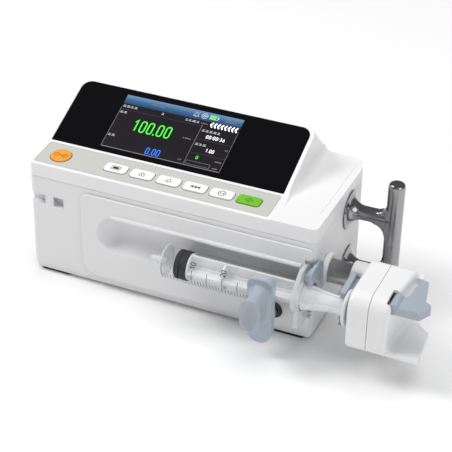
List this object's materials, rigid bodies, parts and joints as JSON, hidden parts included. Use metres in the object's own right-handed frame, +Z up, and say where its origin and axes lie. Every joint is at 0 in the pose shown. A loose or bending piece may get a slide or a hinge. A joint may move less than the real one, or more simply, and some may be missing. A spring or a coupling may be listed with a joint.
{
  "type": "syringe infusion pump",
  "caption": "Bench infusion pump with a sloped display, a key strip, a syringe in a front cradle, a clamp, a sliding pusher head with a release lever, and a side handle.",
  "frame": {"origin": "middle of the footprint, on the surface that the feet stand on", "axes": "+X to the pusher end, +Y to the back, +Z up"},
  "size_m": [0.3236, 0.162, 0.127],
  "materials": {
    "shell_white": "satin moulded ABS, very fine grain",
    "overlay_grey": "warm grey membrane film, fine texture",
    "glass_black": "glossy black window",
    "display_frame": "matt dark frame",
    "board_green": "solder-masked circuit board",
    "key_white": "soft-touch key, printed symbol",
    "key_green": "soft-touch green key",
    "key_orange": "soft-touch orange key",
    "rubber_black": "matt rubber",
    "steel": "ground steel",
    "chrome": "polished",
    "clear_plastic": "clear to frosted polypropylene",
    "blue_grey": "satin blue-grey moulding",
    "tube_grey": "mid grey anodised tube",
    "pad_grey": "light grey pad",
    "aluminium": "milled",
    "brass": "machined",
    "motor_steel": "blackened steel",
    "dark_plastic": "matt dark moulding"
  },
  "bodies": {
    "housing": {"lower_case": "shell_white", "upper_case": "shell_white", "cradle_panel": "shell_white", "key_overlay": "overlay_grey", "display_glass": "glass_black", "display_module": "display_frame", "keypad_board": "board_green", "foot_front_left": "rubber_black", "foot_front_right": "rubber_black", "foot_rear_left": "rubber_black", "foot_rear_right": "rubber_black", "base_screw_1": "steel", "base_screw_2": "steel", "base_screw_3": "steel", "base_screw_4": "steel", "side_handle": "chrome", "syringe_barrel": "clear_plastic", "clamp_bush": "dark_plastic", "clamp_spring": "steel", "tube_bush": "shell_white", "chassis_left": "aluminium", "chassis_right": "aluminium", "screw_bearing_left": "steel", "screw_bearing_right": "steel", "guide_rod": "steel", "motor": "motor_steel", "battery_pack": "dark_plastic", "power_board": "board_green", "main_board": "board_green", "speaker": "dark_plastic", "mains_inlet": "dark_plastic", "data_port": "dark_plastic"},
    "pusher": {"drive_tube": "tube_grey", "pusher_shell_left": "shell_white", "pusher_shell_right": "shell_white", "lever_pin": "steel", "thrust_pad": "pad_grey", "carriage": "dark_plastic", "plunger_rod": "clear_plastic", "plunger_stopper": "rubber_black"},
    "lever": {"release_lever": "blue_grey"},
    "claw_top": {"claw_upper": "blue_grey"},
    "claw_bottom": {"claw_lower": "blue_grey"},
    "release": {"release_rod": "steel"},
    "nut": {"half_nut": "brass"},
    "clamp_slider": {"clamp_shaft": "steel", "clamp_collar": "steel"},
    "clamp_arm": {"barrel_clamp": "blue_grey"},
    "clip": {"flange_clip": "blue_grey"},
    "screw": {"lead_screw": "steel", "screw_gear": "brass"},
    "pinion": {"motor_pinion": "brass"},
    "button_display": {"key_display": "key_white"},
    "button_lock": {"key_lock": "key_white"},
    "button_alarm": {"key_alarm": "key_white"},
    "button_purge": {"key_purge": "key_white"},
    "button_stop": {"key_stop": "key_white"},
    "button_start": {"key_start": "key_green"},
    "button_power": {"power_key": "key_orange"}
  },
  "joints": [
    {"name": "pusher_slide", "type": "slide", "parent": "housing", "child": "pusher", "axis": [1, 0, 0], "range_m": [-0.006, 0.08]},
    {"name": "lever_press", "type": "hinge", "parent": "pusher", "child": "lever", "pos_m": [0.1377, -0.0455, 0.064], "axis": [0, 1, 0], "range_deg": [0, 20], "stiffness_Nm_per_rad": 0.2, "springref_deg": -6.88},
    {"name": "claw_top_open", "type": "hinge", "parent": "pusher", "child": "claw_top", "pos_m": [0.1032, -0.0195, 0.0612], "axis": [-1, 0, 0], "range_deg": [0, 22.5]},
    {"name": "claw_bottom_open", "type": "hinge", "parent": "pusher", "child": "claw_bottom", "pos_m": [0.1032, -0.0195, 0.0354], "axis": [1, 0, 0], "range_deg": [0, 22.5]},
    {"name": "release_turn", "type": "hinge", "parent": "pusher", "child": "release", "pos_m": [0.0672, -0.0064, 0.051], "axis": [1, 0, 0], "range_deg": [0, 6.8]},
    {"name": "nut_open", "type": "hinge", "parent": "pusher", "child": "nut", "pos_m": [-0.0378, 0.008, 0.051], "axis": [-1, 0, 0], "range_deg": [0, 20.5]},
    {"name": "clamp_pull", "type": "slide", "parent": "housing", "child": "clamp_slider", "axis": [0, -1, 0], "range_m": [0, 0.026], "stiffness_N_per_m": 120, "springref_m": -0.02, "deforming": ["clamp_spring"]},
    {"name": "clamp_turn", "type": "hinge", "parent": "clamp_slider", "child": "clamp_arm", "pos_m": [0.0422, -0.059, 0.023], "axis": [0, -1, 0], "range_deg": [0, 90]},
    {"name": "clip_slide", "type": "slide", "parent": "housing", "child": "clip", "axis": [1, 0, 0], "range_m": [0, 0.003], "stiffness_N_per_m": 500, "springref_m": -0.002},
    {"name": "screw_spin", "type": "hinge", "parent": "housing", "child": "screw", "pos_m": [0.0072, 0.017, 0.051], "axis": [1, 0, 0], "continuous": true},
    {"name": "pinion_spin", "type": "hinge", "parent": "housing", "child": "pinion", "pos_m": [-0.0608, 0.041, 0.051], "axis": [1, 0, 0], "continuous": true},
    {"name": "press_display", "type": "slide", "parent": "housing", "child": "button_display", "axis": [0, 0.0872, -0.9962], "range_m": [0, 0.001], "stiffness_N_per_m": 400, "springref_m": -0.0005},
    {"name": "press_lock", "type": "slide", "parent": "housing", "child": "button_lock", "axis": [0, 0.0872, -0.9962], "range_m": [0, 0.001], "stiffness_N_per_m": 400, "springref_m": -0.0005},
    {"name": "press_alarm", "type": "slide", "parent": "housing", "child": "button_alarm", "axis": [0, 0.0872, -0.9962], "range_m": [0, 0.001], "stiffness_N_per_m": 400, "springref_m": -0.0005},
    {"name": "press_purge", "type": "slide", "parent": "housing", "child": "button_purge", "axis": [0, 0.0872, -0.9962], "range_m": [0, 0.001], "stiffness_N_per_m": 400, "springref_m": -0.0005},
    {"name": "press_stop", "type": "slide", "parent": "housing", "child": "button_stop", "axis": [0, 0.0872, -0.9962], "range_m": [0, 0.001], "stiffness_N_per_m": 400, "springref_m": -0.0005},
    {"name": "press_start", "type": "slide", "parent": "housing", "child": "button_start", "axis": [0, 0.0872, -0.9962], "range_m": [0, 0.001], "stiffness_N_per_m": 400, "springref_m": -0.0005},
    {"name": "press_power", "type": "slide", "parent": "housing", "child": "button_power", "axis": [0, 0.0872, -0.9962], "range_m": [0, 0.001], "stiffness_N_per_m": 400, "springref_m": -0.0005}
  ],
  "couplings": [
    {"joint": "claw_top_open", "follows": "lever_press", "ratio": 1.1},
    {"joint": "claw_bottom_open", "follows": "lever_press", "ratio": 1.1},
    {"joint": "release_turn", "follows": "lever_press", "ratio": 0.33},
    {"joint": "nut_open", "follows": "lever_press", "ratio": 1},
    {"joint": "pinion_spin", "follows": "screw_spin", "ratio": -3}
  ]
}
